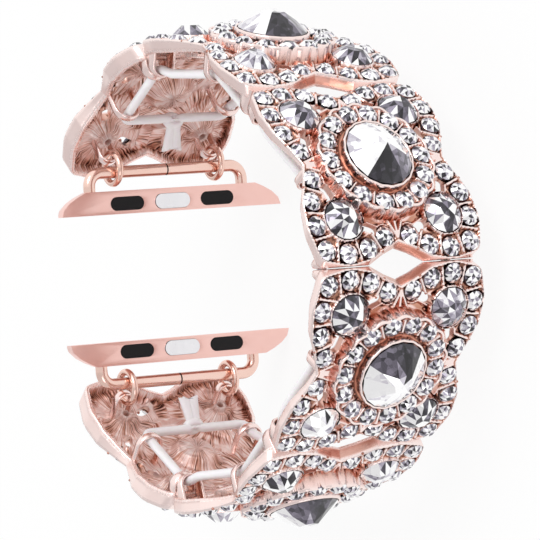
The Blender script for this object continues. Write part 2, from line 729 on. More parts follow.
def backHeights(x, z, ends):
    px, pz = np.abs(x), np.abs(z)
    inset, r = outlineInset(x, z), np.hypot(x, z)
    bossRough, coneRough, plainRough = back["rough"]
    rough = waves(x, z, *back["roughWaves"])
    # hollow of the medallion with the large stone's rough boss
    inMedallion = fall(r, *back["medallion"])
    h = mix(np.full(px.shape, -castLink["plate"]), medallionLift(x) - back["medallionPlate"], inMedallion)
    reach, height, droop, droopRadius = back["boss"]
    h = mix(h, height + droop * (r / droopRadius) ** 2 + bossRough * rough, fall(r, *reach))
    # cones behind the medium stones, knobs behind the small ones
    mediumX, mediumZ = castLink["mediumAt"]
    rMedium = np.hypot(px - mediumX, pz - mediumZ)
    reach, height, pitDeep, pit = back["cone"]
    h = mix(h, height + pitDeep * fall(rMedium, *pit) + coneRough * rough, fall(rMedium, *reach))
    reach, height, pitDeep, pit = back["knob"]
    for place in rowStones:
        d = np.hypot(px - place[0], pz - place[1])
        h = mix(h, height + pitDeep * fall(d, *pit), fall(d, *reach) * (inset > back["knobClear"]))
    # broad uneven lumps, and the way of the cast strokes: out from each lobe's middle, round the boss
    h = h - back["lump"] * waves(x, z, *back["lumpWaves"]) - plainRough * rough
    (panelX, *reachX), (panelZ, *reachZ) = back["panel"]
    panel = fall(np.abs(px - panelX), *reachX) * fall(np.abs(pz - panelZ), *reachZ)
    lobeRadius, bossRadius = back["strokeRadius"]
    lobeTurn = np.arctan2(pz - mediumZ, mediumX - px)
    around = mix(lobeTurn * lobeRadius, np.arctan2(z, x) * bossRadius, r < back["bossStrokes"])
    around = mix(around, z, panel > 0.5)
    # each quarter reads its strokes elsewhere in the noise
    outwards = mix(rMedium + 3 * (x > 0) + 7 * (z > 0), x + 20, panel > 0.5)
    stroke = np.stack([around, outwards, np.zeros(len(x))], 1)
    # setting tubes behind the medium stones
    tube, bore = (fall(rMedium, back["tube"] + a, back["tube"] + b) for a, b in back["tubeWall"])
    tubeRim, tubeFloor = back["tubeEnds"]
    h = mix(mix(h, tubeRim, tube), tubeFloor, bore)
    # rim wall round the hollow, lower at the notches and the waist, and a wall along each joint
    rimLow, rimHigh = castLink["rimHeight"]
    if None in ends:
        rimHigh = castLink["endRim"]
    rimLow = mix(rimLow, castLink["notchRim"], ramp(px, *back["notchRamp"]))
    rampX, rampZ = back["rimRamps"]
    rimDown = mix(rimLow, rimHigh, ramp(px, *rampX) ** 0.8 * ramp(pz, *rampZ) ** 0.8)
    rim = fall(inset, castLink["rimWall"], castLink["rimWall"] + back["rimSoft"])
    thick, soft = back["jointWall"]
    for side, half in zip((-1, 1), ends):
        if half is not None:
            wall = linkHalf - rimDown * math.tan(math.radians(half)) - thick
            rim = np.maximum(rim, ramp(side * x, wall - soft, wall))
    h = mix(h, -rimDown, rim) + edgeDrop(inset)
    shade, (most, a, b, c, d, e) = backShade, back["shadeWaves"]
    depth = shade["middle"] - most * np.sin(a * x + b * np.sin(c * z)) * np.sin(d * z + e)
    depth = mix(depth, shade["panel"], 0.85 * panel)
    depth = mix(mix(depth, shade["tube"], tube), shade["bore"], bore)
    start, end = back["foot"]
    depth = mix(np.clip(depth, 0, shade["most"]), shade["foot"], ramp(inset, *start) * fall(inset, *end))
    return h, mix(depth, shade["rim"], rim), inMedallion, rim, stroke


def cellCorners(grid):
    return grid[:-1, :-1], grid[:-1, 1:], grid[1:, 1:], grid[1:, :-1]


def linkGrid():
    # grid points inside the outline, cut cells along it, and the border that the walls hang from
    g, least = castLink["gridStep"], castLink["leastShare"]
    n = int(math.ceil((lobeX + lobeR + g) / g))
    line = np.arange(-n, n + 1) * g
    x, z = np.meshgrid(line, line, indexing="ij")
    f = np.minimum(outlineInset(x, z), holeDistance(x, z))
    f = np.where(np.abs(f) < least * g, least * g, f)
    inside = f > 0
    index = np.full(x.shape, -1)
    count = int(inside.sum())
    index[inside] = np.arange(count)
    full = np.logical_and.reduce(cellCorners(inside))
    some = np.logical_or.reduce(cellCorners(inside)) & ~full
    quads = np.stack([corner[full] for corner in cellCorners(index)], 1)
    extra, crossing, faces, border = [], {}, [tuple(q) for q in quads.tolist()], []
    for i, j in np.argwhere(some):
        corners = [(i, j), (i, j + 1), (i + 1, j + 1), (i + 1, j)]
        loop = []
        for a, b in zip(corners, corners[1:] + corners[:1]):
            if inside[a]:
                loop.append((index[a], False))
            if inside[a] != inside[b]:
                key = (min(a, b), max(a, b))
                if key not in crossing:
                    t = min(max(f[a] / (f[a] - f[b]), least), 1 - least)
                    extra.append((x[a] + t * (x[b] - x[a]), z[a] + t * (z[b] - z[a])))
                    crossing[key] = count + len(extra) - 1
                loop.append((crossing[key], True))
        if len(loop) > 2:
            faces.append(tuple(v for v, on in loop))
            border += [(v, w) for (v, on), (w, onNext) in zip(loop, loop[1:] + loop[:1]) if on and onNext]
    extra = np.array(extra)
    return np.concatenate([x[inside], extra[:, 0]]), np.concatenate([z[inside], extra[:, 1]]), faces, border


def lifted(x, z, h, straight):
    # height h above the arch, square to it or, where straight is 1, along Y
    turn = np.arcsin(x / archR)
    lean, up = np.sin(turn) * (1 - straight), mix(np.cos(turn), 1.0, straight)
    return np.stack([x + h * lean, surfaceY(x) + h * up, z], 1)


def cutAtJoint(points, half, side, wedge):
    if half is not None:
        deep = castLink["plate"]
        limit = linkEdge + np.minimum(points[:, 1], 0) * math.tan(math.radians(half))
        limit = limit - wedge * np.clip((points[:, 1] + deep) / deep, 0, 1)
        points[:, 0] = np.minimum(points[:, 0] * side, limit) * side


gridX, gridZ, gridFaces, gridBorder = linkGrid()
gridFront = frontHeights(gridX, gridZ)


# shade and roughness of the walls: through the holes, down the sides, and how much changes at the notches
wallLook = {"hole": (0.42, 0.4), "side": (0.07, 0.45), "notchShade": 0.36, "notch": ((7.5, 8.5), (3.0, 4.6))}


def linkMesh(ends):
    x, z, n, levels = gridX, gridZ, len(gridX), castLink["wallLevels"]
    h, depth, on = gridFront
    top = lifted(x, z, h, on)
    hBack, depthBack, inMedallion, rim, stroke = backHeights(x, z, ends)
    straight = np.clip(inMedallion + fall(outlineInset(x, z), *back["upright"]), 0, 1)
    under = lifted(x, z, hBack, straight)
    under[:, 2] *= 1 - castLink["draft"] * rim * ramp(np.abs(z), *back["draftRamp"])
    verts, depths = [top, under], [depth, depthBack]
    inner = [np.zeros(n), np.where(rim > 0.5, *back["asCast"])]
    faces = gridFaces + [tuple(v + n for v in reversed(f)) for f in gridFaces]
    # walls down the outline and through the holes
    ring = sorted({v for edge in gridBorder for v in edge})
    where = {v: i for i, v in enumerate(ring)}
    isHole = holeDistance(x[ring], z[ring]) < 0.1
    notchX, notchZ = wallLook["notch"]
    atNotch = ramp(np.abs(x[ring]), *notchX) * fall(np.abs(z[ring]), *notchZ)
    (holeShade, holeRough), (sideShade, sideRough) = wallLook["hole"], wallLook["side"]
    for k in range(1, levels):
        verts.append(mix(top[ring], under[ring], k / levels))
        depths.append(np.where(isHole, holeShade, sideShade + wallLook["notchShade"] * atNotch))
        inner.append(np.where(isHole, holeRough, sideRough * (1 - atNotch)))

    def at(level, v):
        between = 2 * n + (level - 1) * len(ring) + where[v]
        return v if level == 0 else v + n if level == levels else between

    faces += [(at(k, b), at(k, a), at(k + 1, a), at(k + 1, b)) for a, b in gridBorder for k in range(levels)]
    verts = np.concatenate(verts)
    wedge = castLink["wedge"][0 if None in ends else 1]
    cutAtJoint(verts, ends[1], 1, wedge)
    cutAtJoint(verts, ends[0], -1, wedge)
    strokes = np.zeros((len(verts), 3))
    strokes[n:2 * n] = stroke
    return verts, faces, np.concatenate(depths), np.concatenate(inner), strokes


eyelet = {
    "wall": 0.34,
    "bevel": 0.1,
    "lean": 0.55,  # rise of the legs' ends towards the link's middle
    "short": 0.03,  # how far before the joint's face its eyelets end
    "steps": 18,
    "shades": (0.5, 0.08),  # in the bore, outside
    # "at" is the cord's or ring's place, how far across and how deep; "top" is where the legs end
    "joint": {"at": (7.6, -2.6), "bore": 1.05, "top": -0.4, "start": 8.8},
    "waist": {"at": (6.4, -1.2), "bore": 1.25, "top": 1.4, "half": 0.42},
    "ring": {"at": (6.5, -2.0), "bore": 0.78, "top": 0.5, "half": 0.45, "middle": 6.6},
}
jointZ, jointY = eyelet["joint"]["at"]
waistZ, waistY = eyelet["waist"]["at"]
ringZ, ringY = eyelet["ring"]["at"]


def loopMesh(across, deep, bore, top, fromX, toX):
    # a bevelled strap bent round the bore, its two legs let into the plate
    b, outer = eyelet["bevel"], bore + eyelet["wall"]
    section = [(0, 0, bore + b), (0, 0, outer - b), (0, b, outer), (1, -b, outer), (1, 0, outer - b),
               (1, 0, bore + b), (1, -b, bore), (0, b, bore)]
    leg = top - deep
    stations = [(leg, 0.0), (leg / 2, 0.0)]
    stations += [(0.0, math.pi * k / eyelet["steps"]) for k in range(eyelet["steps"] + 1)]
    stations += [(leg / 2, math.pi), (leg, math.pi)]
    verts, depths = [], []
    for rise, a in stations:
        for end, shift, r in section:
            y = deep + rise - r * math.sin(a) + (0 if end or rise < leg else eyelet["lean"])
            verts.append(((toX(y) if end else fromX(y)) + shift, y, across + r * math.cos(a)))
            depths.append(eyelet["shades"][0 if r == bore else 1])
    n, m = len(section), len(stations)
    caps = [tuple(reversed(range(n))), tuple(range((m - 1) * n, m * n))]
    return np.array(verts), tubeFaces(m, n) + caps, np.array(depths)


turned = {
    "neck": 0.42,  # from the top down to the dark foot
    "shoulder": 0.1,
    "round": (0.06, 0.02),  # of the two top edges, inwards and down
    "shades": (0.16, 0.03),  # neck, top
    "collar": {"points": 72, "width": 0.27, "low": 0.5, "rise": 0.68, "foot": 0.2,
               "out": 0.3, "wave": (0.04, 18)},
    "skirt": {"points": 280, "width": 0.3, "low": 0.7, "rise": 0.04, "foot": 0.6,
              "scallop": 1.26, "least": 6.5},
}


def turnedRing(sizes, radiusAt, lowAt, up, oval=1.0):
    # a closed ring with a rounded top, its radius and foot given by angle
    width, (inwards, down) = sizes["width"], turned["round"]
    shoulder, (neckShade, topShade) = up - turned["shoulder"], turned["shades"]
    top = [(0.0, shoulder), (-inwards, up - down), (-width / 2, up), (inwards - width, up - down),
           (-width, shoulder)]
    profile = [(0.0, None, sizes["foot"]), (0.0, up - turned["neck"], neckShade)]
    profile += [(out, y, topShade) for out, y in top] + [(-width, None, sizes["foot"])]
    verts, depths = [], []
    for a in spread(sizes["points"]):
        for out, y, shade in profile:
            r = radiusAt(a) + out
            verts.append((r * math.cos(a), lowAt(a) if y is None else y, r * math.sin(a) * oval))
            depths.append(shade)
    return np.array(verts), tubeFaces(sizes["points"], len(profile), True), np.array(depths)


def collarMesh():
    # round the large stone, from the medallion's floor to the girdle
    sizes, top = turned["collar"], surfaceY(0) + castLink["medallionRise"]
    deep, count = sizes["wave"]
    return turnedRing(sizes, lambda a: castLink["largeRadius"] + sizes["out"] + deep * math.cos(count * a),
                      lambda a: top - sizes["low"], top + sizes["rise"], castLink["largeOval"])


def skirtMesh():
    # the medallion's wall, scalloped round the halo stones
    sizes, halo = turned["skirt"], castLink["haloRadius"]

    def radiusAt(a):
        off = (a / haloPitch - round(a / haloPitch)) * haloPitch
        aside = halo * math.sin(off)
        scallop = halo * math.cos(off) + math.sqrt(max(sizes["scallop"] ** 2 - aside ** 2, 0))
        return max(scallop, sizes["least"])

    def lowAt(a):
        return float(surfaceY(radiusAt(a) * math.cos(a))) - sizes["low"]

    top = surfaceY(0) + castLink["medallionRise"] + castLink["ridge"]
    return turnedRing(sizes, radiusAt, lowAt, top + sizes["rise"])


def jointFace(half):
    return lambda y: linkEdge - eyelet["short"] + min(y, 0) * math.tan(math.radians(half))


def squareFace(x):
    return lambda y: x


def linkLoops(ends):
    # each eyelet's mesh values and the side of the link that it is on
    loops = []
    joint, waist, ring = eyelet["joint"], eyelet["waist"], eyelet["ring"]
    for s in (-1, 1):
        # a loop's bottom carries the cord, so its middle lies higher than the cord's
        deep, w = waistY + waist["bore"] - band["cordRadius"], waist["half"]
        loops.append(((s * waistZ, deep, waist["bore"], waist["top"], squareFace(-w), squareFace(w)), 1))
        for side, half in zip((-1, 1), ends):
            if half is None:
                a, w = ring["middle"], ring["half"]
                loops.append(((s * ringZ, ringY, ring["bore"], ring["top"], squareFace(a - w),
                               squareFace(a + w)), side))
            else:
                deep = jointY + joint["bore"] - band["cordRadius"]
                loops.append(((s * jointZ, deep, joint["bore"], joint["top"], squareFace(joint["start"]),
                               jointFace(half)), side))
    return loops


print("link grid", len(gridX), "points")
for k in range(6):
    points, faces, depth, inner, strokes = linkMesh(linkEnds[k])
    parts = [(collarMesh(), -1), (skirtMesh(), -1)]
    parts += [(loopMesh(*values), side) for values, side in linkLoops(linkEnds[k])]
    for (more, moreFaces, moreDepth), side in parts:
        more[:, 0] *= side
        if side > 0:
            moreFaces = [tuple(reversed(f)) for f in moreFaces]
        faces = faces + [tuple(v + len(points) for v in f) for f in moreFaces]
        points = np.concatenate([points, more])
        depth = np.concatenate([depth, moreDepth])
        inner = np.concatenate([inner, np.zeros(len(more))])
        strokes = np.concatenate([strokes, np.zeros((len(more), 3))])
    piece = meshPiece("castLink_%d" % (k + 1), points, faces, materials["cast"])
    for name, values in (("depth", depth), ("inner", inner), ("stroke", strokes)):
        storeValues(piece.data, name, values)
    piece.data.transform(linkPlace(k))
    piece.data.set_sharp_from_angle(angle=math.radians(castLink["sharpAngle"]))
    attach(piece, "link_%d" % (k + 1))
    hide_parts("casting_%d" % (k + 1))
print("cast links made")


# Stones, set by Geometry Nodes on points that carry their facing

# "table" and "mid" are shares of the radius, a lower "bright" gives more light facets,
# and stones that are "own" have their own spin and shade
stones = {
    "small": {"radius": 1.06, "crown": 0.46, "table": 0.5, "mid": 0.76, "girdle": 0.04, "base": -0.3,
              "seed": 3, "bright": 1.0, "own": True,
              "piece": "smallStones", "node": "small_stones", "finish": "stone"},
    "medium": {"radius": castLink["mediumRadius"], "crown": 1.06, "table": 0.42, "mid": 0.72, "girdle": 0.26,
               "base": -0.1, "seed": 11, "bright": 0.33, "own": True,
               "piece": "mediumStones", "node": "medium_stones", "finish": "bigStone"},
    "large": {"radius": castLink["largeRadius"], "crown": 1.95, "table": 0.3, "mid": 0.68, "girdle": 0.7,
              "base": -0.1, "seed": 25, "bright": 0.4, "own": False, "oval": castLink["largeOval"],
              "piece": "largeStone", "node": "large_stone", "finish": "bigStone"},
}
midRise = 1.12  # times as high as the straight line from girdle to table, for the kites' corners
girdleBand = 0.1
baseShare = 0.97
girdleShade = 0.12
anyTurn = 6.283  # radians
# the large stone's sectors in degrees: 0 is towards the next link, 90 across the band;
# lower shades are darker
sectors = {
    "dark": (-50, -5),
    "darkReach": 0.8,  # share of the radius
    "lilac": (-5, 62),
    "lilacRings": (0.35, 0.62),
    "table": 0.5,
    "stars": (25, 0.34, 0.72),  # up to this angle, and beyond it
    "girdle": (0.1, 0.2),  # at 0 degrees, and how much more at the sector's end
    "light": (0.6, (0.44, 0.4), (0.36, 0.5)),  # inside this reach, beyond it: least, and how much chance adds
}


def sectorShade(a, out, chance):
    # out is 1 at the girdle
    if sectors["dark"][0] < a < sectors["dark"][1]:
        return 0.0 if out < sectors["darkReach"] else girdleShade
    start, end = sectors["lilac"]
    if start <= a < end:
        tableEnd, starEnd = sectors["lilacRings"]
        split, near, far = sectors["stars"]
        least, more = sectors["girdle"]
        star = near if a < split else far
        rim = least + more * max(a, 0) / end
        return sectors["table"] if out < tableEnd else star if out < starEnd else rim
    reach, within, beyond = sectors["light"]
    least, more = within if out < reach else beyond
    return least + more * chance


def facetShades(faces, verts, sizes):
    shades = np.random.default_rng(sizes["seed"]).random(len(faces)) ** sizes["bright"]
    for i, face in enumerate(faces):
        x, y, z = np.mean([verts[v] for v in face], 0)
        if z < sizes["girdle"]:
            shades[i] = girdleShade
        elif not sizes["own"]:
            out = math.hypot(x, y) / sizes["radius"]
            shades[i] = sectorShade(math.degrees(math.atan2(y, x)), out, shades[i])
    return shades


def cutStone(name, sizes):
    # a brilliant: table of eight, stars, split kites, sixteen girdle facets, band and closed base
    r, top, low = sizes["radius"], sizes["girdle"] + sizes["crown"], sizes["base"]
    midHeight = sizes["girdle"] + sizes["crown"] * (1 - sizes["mid"]) / (1 - sizes["table"]) * midRise

    def ring(count, radius, height, start=0.0):
        return [(radius * math.cos(a), radius * math.sin(a), height) for a in spread(count, start)]

    verts = [(0, 0, top)] + ring(8, r * sizes["table"], top) + ring(8, r * sizes["mid"], midHeight, 0.5)
    verts += ring(16, r, sizes["girdle"]) + ring(16, r, sizes["girdle"] - girdleBand)
    verts += ring(16, r * baseShare, low)
    verts = [(x, y * sizes.get("oval", 1.0), z) for x, y, z in verts]
    t, m, g, band1, base = 1, 9, 17, 33, 49  # first vertex of each ring
    faces = []
    for k in range(8):
        n, p, g0 = (k + 1) % 8, (k - 1) % 8, g + 2 * k
        faces += [(0, t + k, t + n), (t + k, m + k, t + n), (t + k, m + p, g0), (t + k, g0, m + k),
                  (m + k, g0, g0 + 1), (m + k, g0 + 1, g + (2 * k + 2) % 16)]
    for k in range(16):
        n = (k + 1) % 16
        faces += [(g + k, band1 + k, band1 + n, g + n), (band1 + k, base + k, base + n, band1 + n)]
    faces.append(tuple(reversed(range(base, base + 16))))
    piece = meshPiece(name, np.array(verts) * mm, faces, materials["stone"], smooth=False)
    storeValues(piece.data, "facetShade", facetShades(faces, verts, sizes), "FACE")
    return piece


def newTree(name, sockets):
    tree = bpy.data.node_groups.new(name, "GeometryNodeTree")
    tree.interface.new_socket("Geometry", in_out="INPUT", socket_type="NodeSocketGeometry")
    for label, kind in sockets:
        tree.interface.new_socket(label, in_out="INPUT", socket_type="NodeSocket" + kind)
    tree.interface.new_socket("Geometry", in_out="OUTPUT", socket_type="NodeSocketGeometry")
    return tree, tree.nodes.new("NodeGroupInput").outputs


def closeTree(tree, geometry, finish):
    real = addNode(tree, "GeometryNodeRealizeInstances", {"Geometry": geometry})
    done = addNode(tree, "GeometryNodeSetMaterial", {"Geometry": real.outputs[0], "Material": finish})
    addNode(tree, "NodeGroupOutput", {0: done.outputs[0]})


def randomNumber(tree, seed, low, high):
    node = addNode(tree, "FunctionNodeRandomValue", {"Seed": seed}, data_type="FLOAT")
    limits = [s for s in node.inputs if s.name in ("Min", "Max") and s.enabled]
    feed(tree, limits[0], low)
    feed(tree, limits[1], high)
    return next(s for s in node.outputs if s.enabled)


def makeSetOnPoints():
    # puts one template on every point, turned to the point's "facing", with its own spin, size and shade
    tree, given = newTree("setOnPoints", [("Template", "Object"), ("Turn", "Float"), ("Spin", "Float"),
                                          ("Size Spread", "Float"), ("Shade Spread", "Float"),
                                          ("Seed", "Int"), ("Finish", "Material")])
    template = addNode(tree, "GeometryNodeObjectInfo", {"Object": given["Template"]}).outputs["Geometry"]
    facing = addNode(tree, "GeometryNodeInputNamedAttribute", {"Name": "facing"}, data_type="FLOAT_VECTOR")
    square = addNode(tree, "FunctionNodeAlignRotationToVector", {"Vector": facing.outputs["Attribute"]},
                     axis="Z")
    spin = randomNumber(tree, given["Seed"], 0.0, given["Spin"])
    about = addNode(tree, "FunctionNodeAxisAngleToRotation",
                    {"Axis": (0, 0, 1), "Angle": mathNode(tree, "ADD", spin, given["Turn"])})
    both = addNode(tree, "FunctionNodeRotateRotation",
                   {"Rotation": square.outputs[0], "Rotate By": about.outputs[0]}, rotation_space="LOCAL")
    # other seeds, so that size and shade don't follow the spin
    least = mathNode(tree, "SUBTRACT", 1.0, given["Size Spread"])
    size = randomNumber(tree, mathNode(tree, "ADD", given["Seed"], 17), least, 1.0)
    put = addNode(tree, "GeometryNodeInstanceOnPoints", {"Points": given["Geometry"], "Instance": template,
                                                         "Rotation": both.outputs[0], "Scale": size})
    shade = randomNumber(tree, mathNode(tree, "ADD", given["Seed"], 41), 0.0, given["Shade Spread"])
    kept = addNode(tree, "GeometryNodeStoreNamedAttribute",
                   {"Geometry": put.outputs[0], "Name": "stoneShade", "Value": shade},
                   data_type="FLOAT", domain="INSTANCE")
    closeTree(tree, kept.outputs[0], given["Finish"])
    return tree


def runTree(source, tree, values, name):
    modifier = source.modifiers.new(tree.name, "NODES")
    modifier.node_group = tree
    for item in tree.interface.items_tree:
        if item.item_type == "SOCKET" and item.in_out == "INPUT" and item.name in values:
            modifier[item.identifier] = values[item.name]
    return bakedPiece(source, name)


def onArch(x, z, height=0.0):
    # a place on the arched surface and the way that it faces, in the link's own millimetres
    turn = math.asin(x / archR)
    normal = np.array([math.sin(turn), math.cos(turn), 0.0])
    return np.array([x, surfaceY(x), z]) + height * normal, normal


def onMedallion(x, z, height=0.0):
    return np.array([x, medallionTop + height, z]), np.array([0.0, 1.0, 0.0])


def pointsOnLink(k, spots):
    # loose points that the stones and beads are set on
    place = linkPlace(k)
    turn = place.to_3x3().normalized()
    source = meshPiece("points", [place @ Vector(p) for p, n in spots], [], materials["cast"])
    storeValues(source.data, "facing", [tuple(turn @ Vector(n)) for p, n in spots])
    return source


lobes = [(sx, sz) for sx in (-1, 1) for sz in (-1, 1)]
stoneSpots = {
    "small": [onArch(sx * p[0], sz * p[1]) for sx, sz in lobes for p in rowStones]
    + [onMedallion(*p) for p in haloStones],
    "medium": [onArch(sx * castLink["mediumAt"][0], sz * castLink["mediumAt"][1]) for sx, sz in lobes],
    "large": [onMedallion(0.0, 0.0)],
}
setOnPoints = makeSetOnPoints()
for size, sizes in stones.items():
    template, own = cutStone(size + "Cut", sizes), sizes["own"]
    for k in range(6):
        # the large stones all have their dark side towards the band's middle
        turn = band["tilts"][k] + (90 if k > 2 and not own else -90)
        values = {"Template": template, "Turn": math.radians(turn), "Spin": anyTurn * own, "Size Spread": 0.0,
                  "Shade Spread": 1.0 * own, "Seed": 10 * k + sizes["seed"],
                  "Finish": materials[sizes["finish"]]}
        source = pointsOnLink(k, stoneSpots[size])
        piece = runTree(source, setOnPoints, values, "%s_%d" % (sizes["piece"], k + 1))
        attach(piece, "link_%d" % (k + 1))
        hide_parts("%s_%d" % (sizes["node"], k + 1))
    bpy.data.objects.remove(template)
print("stones set")


# Cast beads: prongs between the stones and grains in the recesses

beads = {
    "radius": 0.2,
    "spread": 0.35,
    "aside": 1.02,  # off the row's line, beside each divider
    "sink": -0.02,
    "mediumRings": (2.72, 3.1),
    "mediumCount": 18,
    "mediumStart": 0.3,  # of a step
    "recessRise": 0.08,
    "clear": (0.1, 0.2, 1.25),  # from the medallion, the holes, the row
    "haloRings": (4.78, 6.42),
    "haloSink": -0.05,
    "largeRing": 4.36,
    "largeCount": 30,
    "largeSink": -0.3,
}


def beadSpots():
    spots = []
    fromMedallion, fromHole, fromRow = beads["clear"]
    mx, mz = castLink["mediumAt"]
    for sx, sz in lobes:
        for middle, t in dividers()[:-2]:
            for s in (-1, 1):
                x, z = middle + s * beads["aside"] * np.array([-t[1], t[0]])
                spots.append(onArch(sx * x, sz * z, beads["sink"]))
        for k in range(2 * beads["mediumCount"]):
            a = 2 * math.pi * (k / 2 + beads["mediumStart"]) / beads["mediumCount"]
            ring = beads["mediumRings"][k % 2]
            x, z = mx + ring * math.cos(a), mz + ring * math.sin(a)
            inside = np.hypot(x, z) <= castLink["medallionRadius"] + fromMedallion
            onRow = pathDistance(np.array(x), np.array(z), rowStones) <= fromRow
            if not inside and not onRow and holeDistance(x, z) > fromHole:
                spots.append(onArch(sx * x, sz * z, castLink["recessFloor"] + beads["recessRise"]))
    for a in spread(castLink["haloCount"]):
        spots += [onMedallion(r * math.cos(a), r * math.sin(a), beads["haloSink"])
                  for r in beads["haloRings"]]
    r = beads["largeRing"]
    spots += [onMedallion(r * math.cos(a), r * math.sin(a), beads["largeSink"])
              for a in spread(beads["largeCount"], 0.5)]
    return spots


def beadTemplate():
    mesh = bmesh.new()
    bmesh.ops.create_icosphere(mesh, subdivisions=1, radius=beads["radius"] * mm)
    data = bpy.data.meshes.new("bead")
    mesh.to_mesh(data)
    mesh.free()
    data.polygons.foreach_set("use_smooth", [True] * len(data.polygons))
    return newObject("bead", data)


template = beadTemplate()
allBeads = beadSpots()
for k in range(6):
    values = {"Template": template, "Turn": 0.0, "Spin": anyTurn, "Size Spread": beads["spread"],
              "Shade Spread": 1.0, "Seed": k, "Finish": materials["bead"]}
    piece = runTree(pointsOnLink(k, allBeads), setOnPoints, values, "prongBeads_%d" % (k + 1))
    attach(piece, "link_%d" % (k + 1))
bpy.data.objects.remove(template)
print("beads set", len(allBeads), "to a link")


# Elastic cord: two strands per link, and on the end links a cross strand, a knot and the cut ends

cord = {
    "bend": 2.4,
    "turn": 0.8,  # bend beside the waist eyelets of the end links
    "sides": 20,
    "bendSteps": 10,
    "bendAt": 7.14,
    "crossAt": 1.3,
    "knotRadius": 0.56,
    "knotWide": 1.35,
    "knotAt": 0.45,  # beyond the cross strand
    "crossEnd": 0.9,
    "knotInto": (0.2, 0.55, 0.1),  # the strand's last point: across, along, deep
}
tail = {
    "way": (2.75, -2.3),  # along the link, towards the wrist
    "halfWidth": (0.8, 1.25),  # at the knot and at the cut
    "thick": 0.42,
    "groove": (0.35, 0.16),  # depth and width of the line between the two ends
    "flare": 1.5,
    "flatness": 0.85,
    "fray": (-0.3, 0.1),
    "wave": 0.12,
    "capAt": 0.95,  # of its length
    "sharpAngle": 50,
    "columns": 36,
    "rows": 14,
    "seed": 40,
}


def makeCordAlong():
    # a round cord along the edges of the route, with its corners rounded by each point's "bend"
    tree, given = newTree("cordAlong", [("Radius", "Float"), ("Sides", "Int"), ("Finish", "Material")])
    line = addNode(tree, "GeometryNodeMeshToCurve", {"Mesh": given["Geometry"]})
    bend = addNode(tree, "GeometryNodeInputNamedAttribute", {"Name": "bend"}, data_type="FLOAT")
    rounded = addNode(tree, "GeometryNodeFilletCurve",
                      {"Curve": line.outputs[0], "Radius": bend.outputs[0], "Count": cord["bendSteps"]},
                      mode="POLY")
    circle = addNode(tree, "GeometryNodeCurvePrimitiveCircle",
                     {"Resolution": given["Sides"], "Radius": given["Radius"]})
    tube = addNode(tree, "GeometryNodeCurveToMesh",
                   {"Curve": rounded.outputs[0], "Profile Curve": circle.outputs[0], "Fill Caps": True})
    smooth = addNode(tree, "GeometryNodeSetShadeSmooth", {"Geometry": tube.outputs[0]})
    closeTree(tree, smooth.outputs[0], given["Finish"])
    return tree


cordAlong = makeCordAlong()


def cordPiece(name, routes):
    # routes: lists of (point in metres, bend in millimetres)
    points, edges, bends = [], [], []
    for route in routes:
        edges += [(len(points) + i, len(points) + i + 1) for i in range(len(route) - 1)]
        points += [p for p, b in route]
        bends += [b * mm for p, b in route]
    mesh = bpy.data.meshes.new(name)
    mesh.from_pydata(points, edges, [])
    storeValues(mesh, "bend", bends)
    values = {"Radius": band["cordRadius"] * mm, "Sides": cord["sides"], "Finish": materials["cord"]}
    piece = runTree(newObject(name + "Route", mesh), cordAlong, values, name)
    return piece


def linkPoint(k, x, y, z):
    return tuple(linkPlace(k) @ Vector((x, y, z)))


def strandHalf(k, side, s):
    # from the waist eyelet's middle to the joint at the link's left (-1) or right (1) end
    half = linkEnds[k][0 if side < 0 else 1]
    meet = linkHalf + jointY * math.tan(math.radians(half))
    return [(linkPoint(k, 0, waistY, s * waistZ), 0),
            (linkPoint(k, side * eyelet["waist"]["half"], waistY, s * waistZ), cord["bend"]),
            (linkPoint(k, side * cord["bendAt"], jointY, s * jointZ), cord["bend"]),
            (linkPoint(k, side * meet, jointY, s * jointZ), cord["bend"])]


for k in range(5):
    piece = cordPiece("jointCord_%d" % (k + 1),
                      [strandHalf(k, 1, s) + strandHalf(k + 1, -1, s)[-2::-1] for s in (-1, 1)])
    a = linkPoint(k, cord["bendAt"] - 1, jointY, 0)
    b = linkPoint(k + 1, -cord["bendAt"] + 1, jointY, 0)
    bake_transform(piece)
    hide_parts("elastic_cord_%d" % (k + 1))
    if k == 4:
        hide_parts("elastic_cord_6")


def tailMesh(k, side):
    # the two cut ends lie pressed together: one broad, flat, slightly flared tail
    rng = np.random.default_rng(tail["seed"] + 10 * k)
    start = np.array([side * cord["crossAt"], waistY, 0])
    way = np.array([side * tail["way"][0], tail["way"][1], 0.0])
    flat = np.array([-way[1], way[0], 0.0]) / np.linalg.norm(way)
    n, m = tail["columns"], tail["rows"]
    groove, grooveWidth = tail["groove"]
    verts = []
    for i in range(m + 1):
        wide = mix(*tail["halfWidth"], (i / m) ** tail["flare"])
        for a in spread(n):
            across = wide * math.copysign(abs(math.cos(a)) ** tail["flatness"], math.cos(a))
            thick = tail["thick"] * math.sin(a) * (1 - groove * math.exp(-(across / grooveWidth) ** 2))
            p = start + way * (i / m) + flat * thick + np.array([0, 0, across])
            if i == m:
                fray = rng.uniform(*tail["fray"]) + tail["wave"] * math.cos(2 * a)
                p = p + way / np.linalg.norm(way) * fray
            verts.append(p)
    verts += [start + way * tail["capAt"], start]
    faces = tubeFaces(m + 1, n)
    for j in range(n):
        faces.append((m * n + j, m * n + (j + 1) % n, (m + 1) * n))
        faces.append(((j + 1) % n, j, (m + 1) * n + 1))
    return [linkPoint(k, *p) for p in verts], faces


